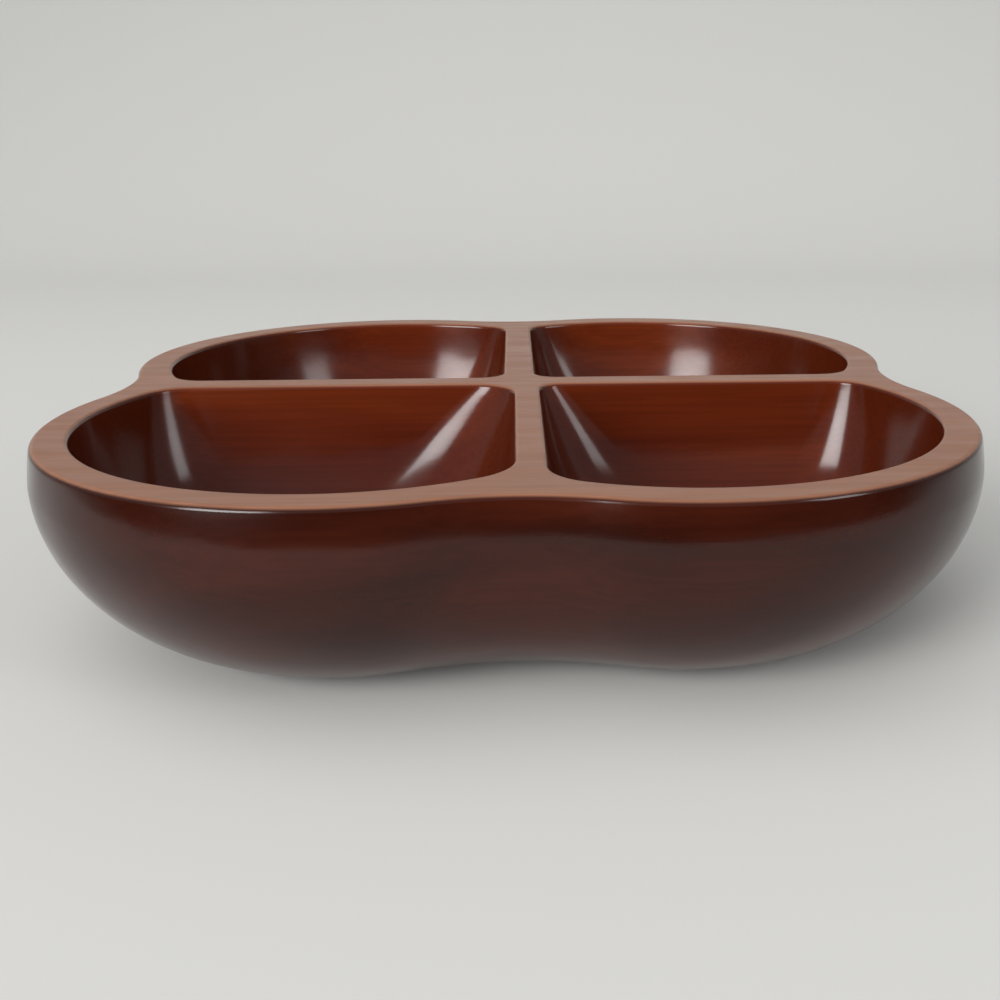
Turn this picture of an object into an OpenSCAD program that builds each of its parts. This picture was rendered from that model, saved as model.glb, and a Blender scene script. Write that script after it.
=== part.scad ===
// Divided serving bowl: a thick block of edge-glued boards, carved into four lobes with a pocket in each.
// The origin is the middle of the foot, +Z is up, +X runs along the grain of the boards.

/* [Blank] */
// Overall width of the bowl over two lobes, along each side
bowl_w = 300; // [260:5:340]
// Overall height, from the foot to the flat of the rim
bowl_h = 68; // [60:1:80]
// Width of each of the three inner boards, the outer two take what is left
board_w = 60; // [52:1:68]

/* [Lobes] */
// Radius of each lobe, measured on the rim
lobe_r = 97; // [90:0.5:104]
// Radius of the hollow between two lobes, measured on the rim
notch_r = 76; // [40:1:100]
// How far the belly stands out past the rim where it is widest
belly_out = 1.4; // [0:0.1:3]
// How far the widest line of the belly lies below the rim
belly_down = 12; // [6:0.5:20]
// How far the edge of the foot lies inside the rim
foot_in = 49; // [36:1:54]
// Rounding along the outer edge of the rim
rim_edge_r = 2.2; // [1:0.1:3]

/* [Pockets] */
// Width of the flat rim between the outside and a pocket
rim_w = 12.6; // [9:0.2:18]
// Depth of the pockets below the rim
pocket_depth = 53; // [40:1:56]
// Width of the front half of the divider that runs from the front to the back
front_divider_w = 9.4; // [8:0.2:14]
// Width of the rear half of that divider
rear_divider_w = 12; // [8:0.2:16]
// Width of the divider that runs from side to side
cross_divider_w = 12.2; // [8:0.2:16]
// How far the front half of the long divider was carved off the centre, to the right
front_divider_shift = 4.6; // [-6:0.2:6]
// How far its rear half was carved off the centre, to the right
rear_divider_shift = 2; // [-6:0.2:6]
// Radius of the pocket corner at the crossing of the dividers, at the mouth
inner_corner_r = 9.5; // [6:0.5:18]
// Radius of the two pocket corners that lie behind the hollows, at the mouth
side_corner_r = 14.5; // [10:0.5:20]
// How much wider the corner at the crossing is on the floor than at the mouth
inner_corner_opening = 22; // [6:1:26]
// How much wider the two side corners are on the floor than at the mouth
side_corner_opening = 13; // [4:1:16]
// How far the edge of the pocket floor lies inside the pocket's mouth
floor_in = 28; // [22:1:32]
// Rounding along the edge of each pocket's mouth
mouth_edge_r = 1.6; // [0.8:0.1:2.5]

/* [Hidden] */

wood = [0.36, 0.16, 0.10];
dark_wood = [0.30, 0.13, 0.08];

// Cutting tools run this far past the wood
overrun = 5;

// Facets of each stretch of the outline and of the side curves
lobe_steps = 26;
notch_steps = 8;
belly_steps = 14;
shoulder_steps = 3;
edge_steps = 4;
pocket_corner_steps = 6;
pocket_wall_steps = 28;
pocket_steps = 11;

// The belly's side curve from its widest line down to the foot: [share inwards, share downwards]
belly_shares = [[0, 0], [0, 0.43], [0.39, 0.875], [1, 1]];
// The pocket's side curve from its mouth down to its floor: [share inwards, share downwards]
pocket_shares = [[0, 0], [0.09, 0.5], [0.38, 1], [1, 1]];
// No corner of a pocket takes more than this share of the room that it has
corner_room_share = 0.94;

// The rim's outline is four lobes about these centres, joined by hollows about points on the axes
rim_half = bowl_w / 2 - belly_out;
lobe_at = rim_half - lobe_r;
notch_at = lobe_at + sqrt(pow(lobe_r + notch_r, 2) - pow(lobe_at, 2));
notch_turn = atan(lobe_at / (notch_at - lobe_at));

// The long divider's face in the pocket of the quarter [sx, sy], measured outwards from the middle of the bowl
function long_wall(sx, sy) =
    sy < 0 ? front_divider_w / 2 + sx * front_divider_shift : rear_divider_w / 2 + sx * rear_divider_shift;

// Points of an arc, without its last one, so that arcs can be strung together
function arc(centre, r, from, to, steps) = [
    for (i = [0 : steps - 1])
        let (a = from + (to - from) * i / steps)
        centre + r * [cos(a), sin(a)]
];

// A point of a cubic curve with four control points
function curve(p, t) =
    pow(1 - t, 3) * p[0] + 3 * pow(1 - t, 2) * t * p[1] + 3 * (1 - t) * t * t * p[2] + pow(t, 3) * p[3];

// The outline of the bowl, drawn in by inset: the lobes shrink and the hollows grow about the same centres
function bowl_outline(inset) = [
    for (q = [0 : 3])
        let (
            turn = 90 * q,
            to_lobe = [[cos(turn), -sin(turn)], [sin(turn), cos(turn)]],
            hollow = arc([notch_at, 0], notch_r + inset, 180 + notch_turn, 180 - notch_turn, notch_steps),
            lobe = arc([lobe_at, lobe_at], lobe_r - inset, -notch_turn, 90 + notch_turn, lobe_steps)
        )
        for (p = concat(hollow, lobe)) to_lobe * p
];

// The outline of one pocket, drawn in by inset, for the quarter [sx, sy] of the bowl. Its corners are opened
// out by the share open of their widening, as far as the pocket has room for them
function pocket_outline(sx, sy, inset, open) =
    let (
        wall_x = long_wall(sx, sy) + inset,
        wall_y = cross_divider_w / 2 + inset,
        r_wall = lobe_r - rim_w - inset,
        past_x = lobe_at - wall_x,
        past_y = lobe_at - wall_y,
        slack = past_x + past_y - r_wall,
        side_room = slack + sqrt(pow(slack, 2) + pow(r_wall, 2) - pow(past_x, 2) - pow(past_y, 2)),
        r_side = min(side_corner_r + open * side_corner_opening, corner_room_share * side_room),
        reach = r_wall - r_side,
        side_x = lobe_at + sqrt(pow(reach, 2) - pow(lobe_at - wall_y - r_side, 2)),
        side_y = lobe_at + sqrt(pow(reach, 2) - pow(lobe_at - wall_x - r_side, 2)),
        from = atan2(wall_y + r_side - lobe_at, side_x - lobe_at),
        to = atan2(side_y - lobe_at, wall_x + r_side - lobe_at),
        inner_room = min(side_x - wall_x, side_y - wall_y),
        r_in = min(inner_corner_r + open * inner_corner_opening, corner_room_share * inner_room),
        quarter = concat(
            arc([wall_x + r_in, wall_y + r_in], r_in, 180, 270, pocket_corner_steps),
            arc([side_x, wall_y + r_side], r_side, -90, from, pocket_corner_steps),
            arc([lobe_at, lobe_at], r_wall, from, to, pocket_wall_steps),
            arc([wall_x + r_side, side_y], r_side, to, 180, pocket_corner_steps)
        ),
        n = len(quarter)
    )
    [for (i = [0 : n - 1]) let (p = quarter[sx * sy > 0 ? i : n - 1 - i]) [sx * p[0], sy * p[1]]];

// The belly's side as [inset, height], from the foot up to the inner end of the rounded rim edge
function belly_side() =
    let (
        widest_z = bowl_h - belly_down,
        edge_z = bowl_h - rim_edge_r
    )
    concat(
        [
            for (i = [belly_steps : -1 : 1])
                let (p = curve(belly_shares, i / belly_steps))
                [(foot_in + belly_out) * p[0] - belly_out, widest_z * (1 - p[1])]
        ],
        [
            for (i = [0 : shoulder_steps - 1])
                let (up = i / shoulder_steps)
                [belly_out * (pow(up, 2) - 1), widest_z + (edge_z - widest_z) * up]
        ],
        [
            for (i = [0 : edge_steps])
                let (a = 90 * i / edge_steps)
                [rim_edge_r * (1 - cos(a)), edge_z + rim_edge_r * sin(a)]
        ]
    );

// A pocket's side as [inset, height, open], from its floor up through the rounded edge and out of the wood.
// The corners open out fast below the mouth and keep their size near the floor
function pocket_side() =
    let (mouth_z = bowl_h - mouth_edge_r, drop = pocket_depth - mouth_edge_r)
    concat(
        [
            for (i = [pocket_steps : -1 : 1])
                let (p = curve(pocket_shares, i / pocket_steps))
                [floor_in * p[0], mouth_z - drop * p[1], p[1] * (2 - p[1])]
        ],
        [
            for (i = [0 : edge_steps])
                let (a = 90 * i / edge_steps)
                [-mouth_edge_r * (1 - cos(a)), mouth_z + mouth_edge_r * sin(a), 0]
        ],
        [[-mouth_edge_r, bowl_h + overrun, 0]]
    );

// Skins a stack of rings round the point at, each [height, points], from the lowest to the highest
module loft(rings, at) {
    n = len(rings[0][1]);
    top = len(rings) - 1;
    low_hub = n * len(rings);
    high_hub = low_hub + 1;
    polyhedron(
        points = concat(
            [for (ring = rings) for (p = ring[1]) [p[0], p[1], ring[0]]],
            [[at[0], at[1], rings[0][0]], [at[0], at[1], rings[top][0]]]
        ),
        faces = [
            for (i = [0 : n - 1])
                let (j = (i + 1) % n)
                each concat(
                    [[low_hub, i, j], [high_hub, top * n + j, top * n + i]],
                    [
                        for (k = [0 : top - 1])
                            let (low = k * n, high = low + n)
                            each [[low + i, high + i, high + j], [low + i, high + j, low + j]]
                    ]
                )
        ]
    );
}

// The outside of the bowl as one block
module belly() {
    loft([for (s = belly_side()) [s[1], bowl_outline(s[0])]], [0, 0]);
}

// One pocket, as the cutter that carves it
module pocket(sx, sy) {
    loft(
        [for (s = pocket_side()) [s[1], pocket_outline(sx, sy, s[0], s[2])]],
        [sx * lobe_at, sy * lobe_at]
    );
}

// The carved bowl before it is seen as boards
module carved() {
    difference() {
        belly();
        for (sx = [-1, 1], sy = [-1, 1]) pocket(sx, sy);
    }
}

// What one board holds of the carved bowl, between two glue lines across Y
module board(from, to) {
    reach = bowl_w / 2 + overrun;
    intersection() {
        carved();
        translate([-reach, from, -overrun]) cube([2 * reach, to - from, bowl_h + 2 * overrun]);
    }
}

// The glue lines, from the front to the back
line_1 = -1.5 * board_w;
line_2 = -0.5 * board_w;
line_3 = 0.5 * board_w;
line_4 = 1.5 * board_w;
ends = bowl_w / 2 + overrun;

module front_outer_board() {
    color(dark_wood) board(-ends, line_1);
}

module front_inner_board() {
    color(wood) board(line_1, line_2);
}

module centre_board() {
    color(dark_wood) board(line_2, line_3);
}

module rear_inner_board() {
    color(wood) board(line_3, line_4);
}

module rear_outer_board() {
    color(dark_wood) board(line_4, ends);
}

front_outer_board();
front_inner_board();
centre_board();
rear_inner_board();
rear_outer_board();
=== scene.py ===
import bmesh
import bpy
from math import atan2, cos, pi, radians, sin, sqrt
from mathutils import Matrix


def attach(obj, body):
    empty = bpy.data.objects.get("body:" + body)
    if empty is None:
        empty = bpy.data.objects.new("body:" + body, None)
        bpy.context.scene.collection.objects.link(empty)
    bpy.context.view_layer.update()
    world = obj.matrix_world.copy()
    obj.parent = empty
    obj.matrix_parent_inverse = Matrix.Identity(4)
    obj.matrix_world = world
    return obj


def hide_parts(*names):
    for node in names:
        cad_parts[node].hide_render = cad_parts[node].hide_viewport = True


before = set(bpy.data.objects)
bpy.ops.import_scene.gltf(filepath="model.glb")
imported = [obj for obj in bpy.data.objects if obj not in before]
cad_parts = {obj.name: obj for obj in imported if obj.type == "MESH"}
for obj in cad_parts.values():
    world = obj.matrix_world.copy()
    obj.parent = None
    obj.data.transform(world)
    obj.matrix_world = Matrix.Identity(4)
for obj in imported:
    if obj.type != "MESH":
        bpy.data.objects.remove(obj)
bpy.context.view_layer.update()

# Camera: low in front of the bowl and a little above its rim, as the photograph was taken.
# The small sideways shift of the lens is the photograph's own framing.
camera_place = (0.00055, -0.40957, 0.15341)
looking_down = 0.3126
tilted = 0.0009
turned_right = 0.0495
bpy.ops.object.select_all(action="DESELECT")
bpy.ops.object.camera_add(location=camera_place, rotation=(pi / 2 - looking_down, tilted, -turned_right))
camera = bpy.context.object
camera.name = "camera"
camera.data.sensor_width = 36
camera.data.lens = 40.35
camera.data.shift_x = -0.07
bpy.context.scene.camera = camera
bpy.context.scene.view_settings.view_transform = "Standard"

# Studio sheet: a plain pale sheet that lies under the bowl and curves up behind it. It isn't part of the object.
# A plane's back edge is extruded up, and the crease is rounded with a wide bevel.
sheet_width = 80
sheet_depth = 40
sheet_back = 2
backdrop_height = 2.5
crease_radius = 1.1


def pick(test, kind="FACE"):
    """Selects the faces, edges or vertices of the mesh in edit mode that pass the test, and nothing else."""
    bpy.ops.mesh.select_mode(type=kind)
    bpy.ops.mesh.select_all(action="DESELECT")
    mesh = bmesh.from_edit_mesh(bpy.context.object.data)
    for element in {"VERT": mesh.verts, "EDGE": mesh.edges, "FACE": mesh.faces}[kind]:
        if test(element):
            element.select_set(True)
    mesh.select_flush_mode()
    bmesh.update_edit_mesh(bpy.context.object.data)


bpy.ops.mesh.primitive_plane_add(size=1, location=(0, sheet_back - sheet_depth / 2, 0))
sheet = bpy.context.object
sheet.name = "studio_sheet"
sheet.scale = (sheet_width, sheet_depth, 1)
bpy.ops.object.transform_apply(location=True, rotation=True, scale=True)
bpy.ops.object.mode_set(mode="EDIT")
pick(lambda edge: all(v.co.y > sheet_back - 0.1 for v in edge.verts), "EDGE")
bpy.ops.mesh.extrude_region_move(TRANSFORM_OT_translate={"value": (0, 0, backdrop_height)})
pick(lambda edge: all(v.co.y > sheet_back - 0.1 and abs(v.co.z) < 0.001 for v in edge.verts), "EDGE")
bpy.ops.mesh.bevel(offset=crease_radius, segments=24, affect="EDGES")
bpy.ops.object.mode_set(mode="OBJECT")
bpy.ops.object.shade_smooth()

sheet_paper = bpy.data.materials.new("pale_studio_paper")
sheet_paper.use_nodes = True
paper = sheet_paper.node_tree.nodes["Principled BSDF"]
paper.inputs["Base Color"].default_value = (0.585, 0.579, 0.556, 1)
paper.inputs["Roughness"].default_value = 0.9
paper.inputs["Specular IOR Level"].default_value = 0.1
sheet.data.materials.append(sheet_paper)

# Dark card: painted shade for the reflections. It stands low behind the camera with its wings folded towards the
# bowl, as the unlit side of the room that the lacquer shows in the photograph. It is seen in reflections alone,
# takes no light away and isn't part of the object. Its wings fade out, so that no hard end shows in the lacquer.
card_width = 0.9
card_height = 0.17
card_back = -0.48
wing = (0.3, 0.58)
fade_from = -0.3
fade_to = 0.1
bpy.ops.mesh.primitive_plane_add(size=1, location=(0, card_back, card_height / 2), rotation=(pi / 2, 0, 0))
card = bpy.context.object
card.name = "dark_card"
card.scale = (card_width, card_height, 1)
bpy.ops.object.transform_apply(location=True, rotation=True, scale=True)
bpy.ops.object.mode_set(mode="EDIT")
for side in (-1, 1):
    pick(lambda edge: all(v.co.x * side > card_width / 2 - 0.01 for v in edge.verts), "EDGE")
    bpy.ops.mesh.extrude_region_move(TRANSFORM_OT_translate={"value": (wing[0] * side, wing[1], 0)})
bpy.ops.object.mode_set(mode="OBJECT")
card.visible_camera = False
card.visible_diffuse = False
card.visible_shadow = False

# The card's dark colour is painted shade: the dim side of the room as the lacquer reflects it.
card_painted_shade = bpy.data.materials.new("dark_card_painted_shade")
card_painted_shade.use_nodes = True
card_shade_nodes = card_painted_shade.node_tree.nodes
card_shade_links = card_painted_shade.node_tree.links
card_shade_shader = card_shade_nodes["Principled BSDF"]
card_shade_shader.inputs["Base Color"].default_value = (0.03, 0.025, 0.02, 1)
card_shade_shader.inputs["Specular IOR Level"].default_value = 0
card_shade_place = card_shade_nodes.new("ShaderNodeSeparateXYZ")
card_shade_links.new(card_shade_nodes.new("ShaderNodeTexCoord").outputs["Object"], card_shade_place.inputs["Vector"])
soft_end = card_shade_nodes.new("ShaderNodeMapRange")
soft_end.interpolation_type = "SMOOTHSTEP"
for socket, number in zip(("From Min", "From Max", "To Min", "To Max"), (fade_from, fade_to, 1, 0)):
    soft_end.inputs[socket].default_value = number
card_shade_links.new(card_shade_place.outputs["Y"], soft_end.inputs["Value"])
card_shade_links.new(soft_end.outputs["Result"], card_shade_shader.inputs["Alpha"])
card.data.materials.append(card_painted_shade)

# Lamps: two tall soft boxes in front of the bowl, to its left and right, draw the bright streaks in the corners
# of the pockets, and a wide even light from high on the left fills the rest. The soft boxes keep their light near
# the bowl, and neither the camera nor, for the wide light, the lacquer sees them. The room gives a little light.
for name, place, turned, width, watts in (
    ("left_softbox", (-1.8, -2.145, 1.08), (69, 0, -40), 1.35, 18.4),
    ("right_softbox", (2.265, -1.65, 1.08), (69, 0, 54), 0.9, 4.5),
):
    bpy.ops.object.light_add(type="AREA", location=place, rotation=[radians(angle) for angle in turned])
    lamp = bpy.context.object
    lamp.name = name
    lamp.data.shape = "RECTANGLE"
    lamp.data.size = width
    lamp.data.size_y = 1.5
    lamp.data.spread = radians(80)
    lamp.data.energy = watts
    lamp.visible_camera = False
bpy.ops.object.light_add(type="SUN", location=(-0.5, -0.9, 2), rotation=(radians(31), 0, radians(-55)))
sky_light = bpy.context.object
sky_light.name = "sky_light"
sky_light.data.angle = radians(76)
sky_light.data.energy = 1.25
sky_light.visible_glossy = False
room = bpy.data.worlds.new("dim_room")
bpy.context.scene.world = room
room.use_nodes = True
room.node_tree.nodes["Background"].inputs["Color"].default_value = (0.95, 0.97, 1, 1)
room.node_tree.nodes["Background"].inputs["Strength"].default_value = 0.4

# Outside of the bowl: a thick blank of glued boards, cut to four lobes and rounded under to a flat foot.
# The outline at its widest line is drawn with spins round the lobe and hollow centres, and is then inset
# step by step, down to the foot and up to the flat of the rim.
bowl_height = 0.068
belly_out = 0.0014
half_width = 0.150 - belly_out
lobe_radius = 0.097
hollow_radius = 0.076
lobe_centre = half_width - lobe_radius
hollow_centre = lobe_centre + sqrt((lobe_radius + hollow_radius) ** 2 - lobe_centre**2)
hollow_turn = atan2(lobe_centre, hollow_centre - lobe_centre)
widest_height = 0.056
foot_inset = 0.049
belly_curve = ((0, 0), (0, 0.43), (0.39, 0.875), (1, 1))
belly_steps = 30
lobe_steps = 64
hollow_steps = 14
widest_band = 0.0005
shoulder_steps = 6
shoulder_bend = 1.35
rim_edge_radius = 0.0016
rim_edge_steps = 8
edge_lean = radians(11)


def bezier(points, t):
    """A point of a cubic curve with four control points."""
    weights = ((1 - t) ** 3, 3 * (1 - t) ** 2 * t, 3 * (1 - t) * t * t, t**3)
    return [sum(w * p[axis] for w, p in zip(weights, points)) for axis in (0, 1)]


def first_point(name, x, y, z):
    """Starts a new mesh with one selected vertex, left in edit mode: a small plane merged to its centre."""
    bpy.ops.object.select_all(action="DESELECT")
    bpy.ops.mesh.primitive_plane_add(size=0.01, location=(0, 0, 0))
    bpy.context.object.name = name
    bpy.ops.object.mode_set(mode="EDIT")
    bpy.ops.mesh.select_mode(type="VERT")
    bpy.ops.mesh.merge(type="CENTER")
    bpy.ops.transform.translate(value=(x, y, z))
    return bpy.context.object


def sweep(x, y, z, turn, steps):
    """Draws on from the selected vertex along an arc round the upright line through x, y; spin turns clockwise."""
    bpy.ops.mesh.spin(steps=steps, angle=-turn, center=(x, y, z), axis=(0, 0, 1))


def inset_steps(side):
    """Insets the selected face along a list of (inset, height) that starts at the face's own."""
    for (inset, height), (next_inset, next_height) in zip(side, side[1:]):
        bpy.ops.mesh.inset(thickness=next_inset - inset, depth=abs(next_height - height), use_even_offset=True)


widest_lobe = lobe_radius + belly_out
bowl = first_point(
    "bowl",
    lobe_centre + widest_lobe * cos(-hollow_turn),
    lobe_centre + widest_lobe * sin(-hollow_turn),
    widest_height,
)
for quarter in range(4):
    turned = quarter * pi / 2
    lobe_x = lobe_centre * (cos(turned) - sin(turned))
    lobe_y = lobe_centre * (sin(turned) + cos(turned))
    hollow_x = -hollow_centre * sin(turned)
    hollow_y = hollow_centre * cos(turned)
    sweep(lobe_x, lobe_y, widest_height, pi / 2 + 2 * hollow_turn, lobe_steps)
    sweep(hollow_x, hollow_y, widest_height, -2 * hollow_turn, hollow_steps)
bpy.ops.mesh.select_all(action="SELECT")
bpy.ops.mesh.remove_doubles(threshold=0.00001)
bpy.ops.mesh.edge_face_add()
bpy.ops.mesh.extrude_region_move(TRANSFORM_OT_translate={"value": (0, 0, -widest_band)})
belly_top = widest_height - widest_band
belly_side = [(-belly_out, belly_top)]
for step in range(1, belly_steps + 1):
    inwards, downwards = bezier(belly_curve, step / belly_steps)
    belly_side.append(((foot_inset + belly_out) * inwards - belly_out, belly_top * (1 - downwards)))
pick(lambda face: len(face.verts) > 4 and face.normal.z < 0)
inset_steps(belly_side)
shoulder_side = []
shoulder_height = bowl_height - rim_edge_radius - widest_height
for step in range(shoulder_steps):
    up = step / shoulder_steps
    shoulder_side.append((belly_out * (up**shoulder_bend - 1), widest_height + shoulder_height * up))
edge_radius = rim_edge_radius / (1 - sin(edge_lean))
for step in range(rim_edge_steps + 1):
    lean = edge_lean + (pi / 2 - edge_lean) * step / rim_edge_steps
    shoulder_side.append((edge_radius * (cos(edge_lean) - cos(lean)), bowl_height - edge_radius * (1 - sin(lean))))
pick(lambda face: len(face.verts) > 4 and face.normal.z > 0)
inset_steps(shoulder_side)
bpy.ops.mesh.delete(type="ONLY_FACE")
bpy.ops.object.mode_set(mode="OBJECT")

# Pockets: one is gouged into each lobe, with walls that lean in and run into a flat floor.
# Each ring of a pocket is drawn with spins round its three corners and the lobe centre, and bridged to the
# ring above it. The corners open out on the way down, and the long divider steps sideways at the crossing.
# Each pocket is named by its side, -1 left or 1 right, and its end, -1 front or 1 rear.
rim_width = 0.0126
pocket_depth = 0.053
divider_half = 0.0061
long_divider_half = {-1: 0.0047, 1: 0.006}
long_divider_shift = {-1: 0.0046, 1: 0.002}
inner_corner = {(-1, -1): 0.0155, (1, -1): 0.0095, (-1, 1): 0.0105, (1, 1): 0.0095}
inner_opening = {(-1, -1): 0.029, (1, -1): 0.022, (-1, 1): 0.022, (1, 1): 0.022}
side_corner = 0.0145
side_opening = 0.013
end_corner = {(-1, -1): 0.022, (1, -1): 0.018, (-1, 1): 0.0145, (1, 1): 0.0145}
end_opening = {(-1, -1): 0.006, (1, -1): 0.01, (-1, 1): 0.013, (1, 1): 0.013}
carved_out = {(-1, -1): 0.0016, (1, -1): 0.001, (-1, 1): 0, (1, 1): 0.0004}
floor_inset = 0.028
mouth_edge_radius = 0.0016
mouth_edge_steps = 6
pocket_curve = ((0, 0), (0.09, 0.5), (0.38, 1), (1, 1))
pocket_steps = 26
corner_steps = 14
pocket_lobe_steps = 56
wall_steps = 8


def straight(x, y, steps):
    """Draws on from the selected vertex by x, y in even steps."""
    for _ in range(steps):
        bpy.ops.mesh.extrude_region_move(TRANSFORM_OT_translate={"value": (x / steps, y / steps, 0)})


def pocket_ring(side, end, inset, height, opening):
    """Draws one closed ring of the pocket at this side and end, with its corners opened out by the share opening."""
    wall_x = long_divider_half[end] + side * long_divider_shift[end] + inset
    wall_y = divider_half + inset
    inner = inner_corner[(side, end)] + inner_opening[(side, end)] * opening
    corner = side_corner + side_opening * opening
    far_corner = end_corner[(side, end)] + end_opening[(side, end)] * opening
    main = lobe_radius - rim_width - inset
    centre_x = lobe_centre + carved_out[(side, end)]
    side_x = centre_x + sqrt((main - corner) ** 2 - (lobe_centre - wall_y - corner) ** 2)
    end_y = lobe_centre + sqrt((main - far_corner) ** 2 - (centre_x - wall_x - far_corner) ** 2)
    low_turn = atan2(wall_y + corner - lobe_centre, side_x - centre_x)
    high_turn = atan2(end_y - lobe_centre, wall_x + far_corner - centre_x)
    turning = side * end
    bpy.ops.mesh.primitive_plane_add(size=0.001, location=(0, 0, 0))
    bpy.ops.mesh.merge(type="CENTER")
    bpy.ops.transform.translate(value=(side * wall_x, end * (wall_y + inner), height))
    sweep(side * (wall_x + inner), end * (wall_y + inner), height, turning * pi / 2, corner_steps)
    straight(side * (side_x - wall_x - inner), 0, wall_steps)
    sweep(side * side_x, end * (wall_y + corner), height, turning * (pi / 2 + low_turn), corner_steps)
    sweep(side * centre_x, end * lobe_centre, height, turning * (high_turn - low_turn), pocket_lobe_steps)
    sweep(side * (wall_x + far_corner), end * end_y, height, turning * (pi - high_turn), corner_steps)
    straight(0, -end * (end_y - wall_y - inner), wall_steps)


pocket_side = []
for step in range(mouth_edge_steps + 1):
    lean = pi / 2 * (1 - step / mouth_edge_steps)
    rounding = mouth_edge_radius * (1 - sin(lean))
    pocket_side.append((-mouth_edge_radius * (1 - cos(lean)), bowl_height - rounding, 0))
for step in range(1, pocket_steps + 1):
    inwards, downwards = bezier(pocket_curve, step / pocket_steps)
    height = bowl_height - mouth_edge_radius - (pocket_depth - mouth_edge_radius) * downwards
    pocket_side.append((floor_inset * inwards, height, downwards * (2 - downwards)))
pockets = []
for side, end in ((-1, -1), (1, -1), (-1, 1), (1, 1)):
    pocket = first_point("pocket", 0, 0, 0)
    bpy.ops.mesh.delete(type="VERT")
    for inset, height, opening in pocket_side:
        pocket_ring(side, end, inset, height, opening)
    bpy.ops.mesh.select_all(action="SELECT")
    bpy.ops.mesh.remove_doubles(threshold=0.000005)
    heights = [height for inset, height, opening in pocket_side]
    for upper, lower in zip(heights, heights[1:]):
        pick(lambda v: min(abs(v.co.z - upper), abs(v.co.z - lower)) < 0.00001, "VERT")
        bpy.ops.mesh.select_mode(type="EDGE")
        bpy.ops.mesh.bridge_edge_loops()
        bpy.ops.mesh.select_mode(type="VERT")
    pick(lambda v: abs(v.co.z - heights[-1]) < 0.00001, "VERT")
    bpy.ops.mesh.edge_face_add()
    bpy.ops.object.mode_set(mode="OBJECT")
    pockets.append(pocket)

# Rim and dividers: the flat of the blank that is left between the outline and the four pockets.
# The shells are joined, the flat is filled in between their edges, and flat faces keep flat normals.
bpy.ops.object.select_all(action="DESELECT")
for shell in (*pockets, bowl):
    shell.select_set(True)
bpy.context.view_layer.objects.active = bowl
bpy.ops.object.join()
bpy.ops.object.mode_set(mode="EDIT")
pick(lambda edge: edge.is_boundary, "EDGE")
bpy.ops.mesh.fill(use_beauty=True)
bpy.ops.mesh.select_all(action="SELECT")
bpy.ops.mesh.normals_make_consistent(inside=False)
bpy.ops.object.mode_set(mode="OBJECT")
bpy.ops.object.shade_smooth_by_angle(angle=radians(35))
bpy.ops.object.mode_set(mode="EDIT")
pick(lambda face: abs(face.normal.z) > 0.9999)
bpy.ops.mesh.set_normals_from_faces(keep_sharp=True)
bpy.ops.object.mode_set(mode="OBJECT")

# Finish: a dark red-brown stain with the grain from side to side, under clear lacquer that is glossy in the
# pockets and outside, and was rubbed duller along the flat of the rim and the dividers. The flat's paler colour is
# in part rubbed wear and in part a painted sheen. Where the surface cuts across the grain it has no figure and is
# darker. The flat is told by its height.
lacquer_ior = 1.39
flat_from = 0.0671
flat_to = 0.0679
end_grain_dark = 0.66


def stain(*shades):
    """A colour from 8-bit screen values of red, green and blue, as the shader takes it."""
    screen = [shade / 255 for shade in shades]
    return [value / 12.92 if value < 0.0405 else ((value + 0.055) / 1.055) ** 2.4 for value in screen] + [1]


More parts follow.
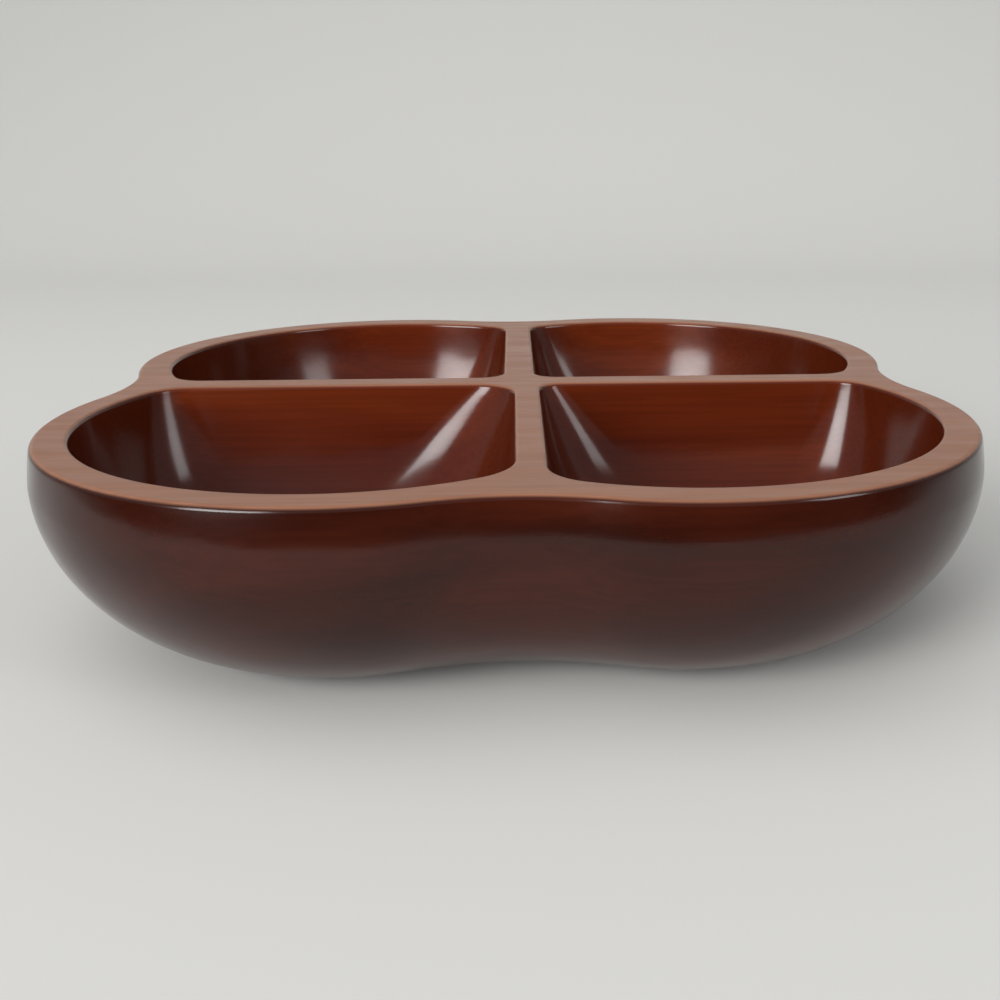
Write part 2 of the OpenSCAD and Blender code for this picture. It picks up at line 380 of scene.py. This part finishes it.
def stained_wood(name, dark, middle, light, rubbed_and_sheen, gloss):
    """Stained and lacquered wood: three shades for the figure, one for the flats, which is rubbed wear and painted
    sheen, and a roughness.
    """
    material = bpy.data.materials.new(name)
    material.use_nodes = True
    nodes = material.node_tree.nodes
    links = material.node_tree.links
    shader = nodes["Principled BSDF"]
    shader.inputs["IOR"].default_value = lacquer_ior
    place = nodes.new("ShaderNodeTexCoord").outputs["Object"]

    def grain(scale, stretch, detail, distortion):
        """Noise drawn out along X, the way of the grain."""
        along = nodes.new("ShaderNodeMapping")
        along.inputs["Scale"].default_value = (1 / stretch, 1, 1)
        links.new(place, along.inputs["Vector"])
        noise = nodes.new("ShaderNodeTexNoise")
        noise.inputs["Scale"].default_value = scale
        noise.inputs["Detail"].default_value = detail
        noise.inputs["Distortion"].default_value = distortion
        links.new(along.outputs["Vector"], noise.inputs["Vector"])
        return noise.outputs["Fac"]

    def spread(value, low, high, to_low, to_high):
        """Maps a value from one range to another, with soft ends."""
        node = nodes.new("ShaderNodeMapRange")
        node.interpolation_type = "SMOOTHSTEP"
        for socket, number in zip(("From Min", "From Max", "To Min", "To Max"), (low, high, to_low, to_high)):
            node.inputs[socket].default_value = number
        links.new(value, node.inputs["Value"])
        return node.outputs["Result"]

    def mix(factor, one, other, blend="MIX"):
        node = nodes.new("ShaderNodeMix")
        node.data_type = "RGBA"
        node.blend_type = blend
        for socket, value in ((node.inputs[0], factor), (node.inputs[6], one), (node.inputs[7], other)):
            if isinstance(value, (float, list)):
                socket.default_value = value
            else:
                links.new(value, socket)
        return node.outputs[2]

    figure = nodes.new("ShaderNodeValToRGB")
    figure.color_ramp.elements[0].position = 0.34
    figure.color_ramp.elements[0].color = dark
    figure.color_ramp.elements[1].position = 0.68
    figure.color_ramp.elements[1].color = light
    figure.color_ramp.elements.new(0.52).color = middle
    links.new(grain(scale=30, stretch=7, detail=2, distortion=0.8), figure.inputs["Fac"])
    pores = spread(grain(scale=700, stretch=40, detail=2, distortion=0), 0.35, 0.65, 0.9, 1.05)
    facing = nodes.new("ShaderNodeSeparateXYZ")
    links.new(nodes.new("ShaderNodeTexCoord").outputs["Normal"], facing.inputs["Vector"])
    end_grain = nodes.new("ShaderNodeMath")
    end_grain.operation = "ABSOLUTE"
    links.new(facing.outputs["X"], end_grain.inputs[0])
    end_shade = [channel * end_grain_dark for channel in middle[:3]] + [1]
    wood = mix(spread(end_grain.outputs[0], 0.3, 0.85, 0, 1), figure.outputs["Color"], end_shade)
    wood = mix(1.0, wood, pores, "MULTIPLY")
    height = nodes.new("ShaderNodeSeparateXYZ")
    links.new(place, height.inputs["Vector"])
    flat = spread(height.outputs["Z"], flat_from, flat_to, 0, 1)
    # The flat takes the paler colour, partly rubbed wear and partly painted sheen.
    links.new(mix(flat, wood, mix(1.0, rubbed_and_sheen, pores, "MULTIPLY")), shader.inputs["Base Color"])
    rubbing = nodes.new("ShaderNodeMix")
    links.new(flat, rubbing.inputs[0])
    polish = grain(scale=60, stretch=5, detail=3, distortion=0)
    links.new(spread(polish, 0.3, 0.7, gloss * 0.85, gloss * 1.25), rubbing.inputs[2])
    scuffs = grain(scale=120, stretch=4, detail=3, distortion=0)
    links.new(spread(scuffs, 0.3, 0.7, 0.3, 0.4), rubbing.inputs[3])
    links.new(rubbing.outputs[0], shader.inputs["Roughness"])
    hand = nodes.new("ShaderNodeBump")
    hand.inputs["Strength"].default_value = 0.5
    hand.inputs["Distance"].default_value = 0.001
    links.new(grain(scale=38, stretch=1.3, detail=1, distortion=0), hand.inputs["Height"])
    pore_bump = nodes.new("ShaderNodeBump")
    pore_bump.inputs["Strength"].default_value = 0.1
    pore_bump.inputs["Distance"].default_value = 0.00008
    links.new(grain(scale=1100, stretch=30, detail=2, distortion=0.2), pore_bump.inputs["Height"])
    links.new(hand.outputs["Normal"], pore_bump.inputs["Normal"])
    links.new(pore_bump.outputs["Normal"], shader.inputs["Normal"])
    return material


# Paler colour of the flat of the rim and the dividers: partly rubbed wear, partly painted sheen.
rubbed_and_sheen_rim = stain(137, 93, 71)
outside = stained_wood("stained_outside", stain(38, 11, 5), stain(50, 16, 7), stain(62, 22, 9), rubbed_and_sheen_rim, 0.14)
inside = stained_wood("stained_pockets", stain(73, 23, 8), stain(83, 29, 10), stain(98, 38, 13), rubbed_and_sheen_rim, 0.14)
bowl.data.materials.append(outside)
bowl.data.materials.append(inside)
bpy.ops.object.mode_set(mode="EDIT")


def in_a_pocket(face):
    """True for a face of a pocket, which looks up or towards the middle of the pocket."""
    middle = face.calc_center_median()
    from_x = middle.x - lobe_centre * (1 if middle.x > long_divider_shift[-1] else -1)
    from_y = middle.y - lobe_centre * (1 if middle.y > 0 else -1)
    outwards = from_x * face.normal.x + from_y * face.normal.y
    return middle.z < bowl_height - 0.00001 and face.normal.z > -0.2 and outwards < 0.0005


pick(in_a_pocket)
bowl.active_material_index = 1
bpy.ops.object.material_slot_assign()
bpy.ops.object.mode_set(mode="OBJECT")

# Boards: the blank is five boards, glued edge to edge with the grain along X, and the glue lines run from
# side to side through the pockets. Each board is cut off a copy of the carved bowl and its glue faces are
# closed, and it keeps the bowl's own normals, so that the lacquer runs over the glue lines unbroken.
board_width = 0.060
past_the_ends = 0.2
glue_lines = [-1.5 * board_width, -0.5 * board_width, 0.5 * board_width, 1.5 * board_width]
board_cuts = [-past_the_ends, *glue_lines, past_the_ends]
board_names = ["front_outer_board", "front_inner_board", "centre_board", "rear_inner_board", "rear_outer_board"]
bowl.name = "carved_bowl"
for node, near, far in zip(board_names, board_cuts, board_cuts[1:]):
    bpy.ops.object.select_all(action="DESELECT")
    bowl.select_set(True)
    bpy.context.view_layer.objects.active = bowl
    bpy.ops.object.duplicate()
    board = bpy.context.object
    board.name = "lacquered_" + node
    bpy.ops.object.mode_set(mode="EDIT")
    bpy.ops.mesh.select_all(action="SELECT")
    bpy.ops.mesh.bisect(plane_co=(0, near, 0), plane_no=(0, 1, 0), clear_inner=True, use_fill=True)
    bpy.ops.mesh.select_all(action="SELECT")
    bpy.ops.mesh.bisect(plane_co=(0, far, 0), plane_no=(0, 1, 0), clear_outer=True, use_fill=True)
    pick(lambda edge: edge.calc_face_angle(0) > radians(35), "EDGE")
    bpy.ops.mesh.mark_sharp()
    bpy.ops.object.mode_set(mode="OBJECT")
    bpy.ops.object.modifier_add(type="DATA_TRANSFER")
    keep_normals = board.modifiers["DataTransfer"]
    keep_normals.object = bowl
    keep_normals.use_loop_data = True
    keep_normals.data_types_loops = {"CUSTOM_NORMAL"}
    keep_normals.loop_mapping = "POLYINTERP_NEAREST"
    bpy.ops.object.modifier_apply(modifier="DataTransfer")
    bpy.ops.object.mode_set(mode="EDIT")
    pick(lambda face: abs(face.normal.y) > 0.9999)
    bpy.ops.mesh.set_normals_from_faces(keep_sharp=True)
    bpy.ops.object.mode_set(mode="OBJECT")
    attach(board, "root")
    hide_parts(node)
bpy.data.objects.remove(bowl)
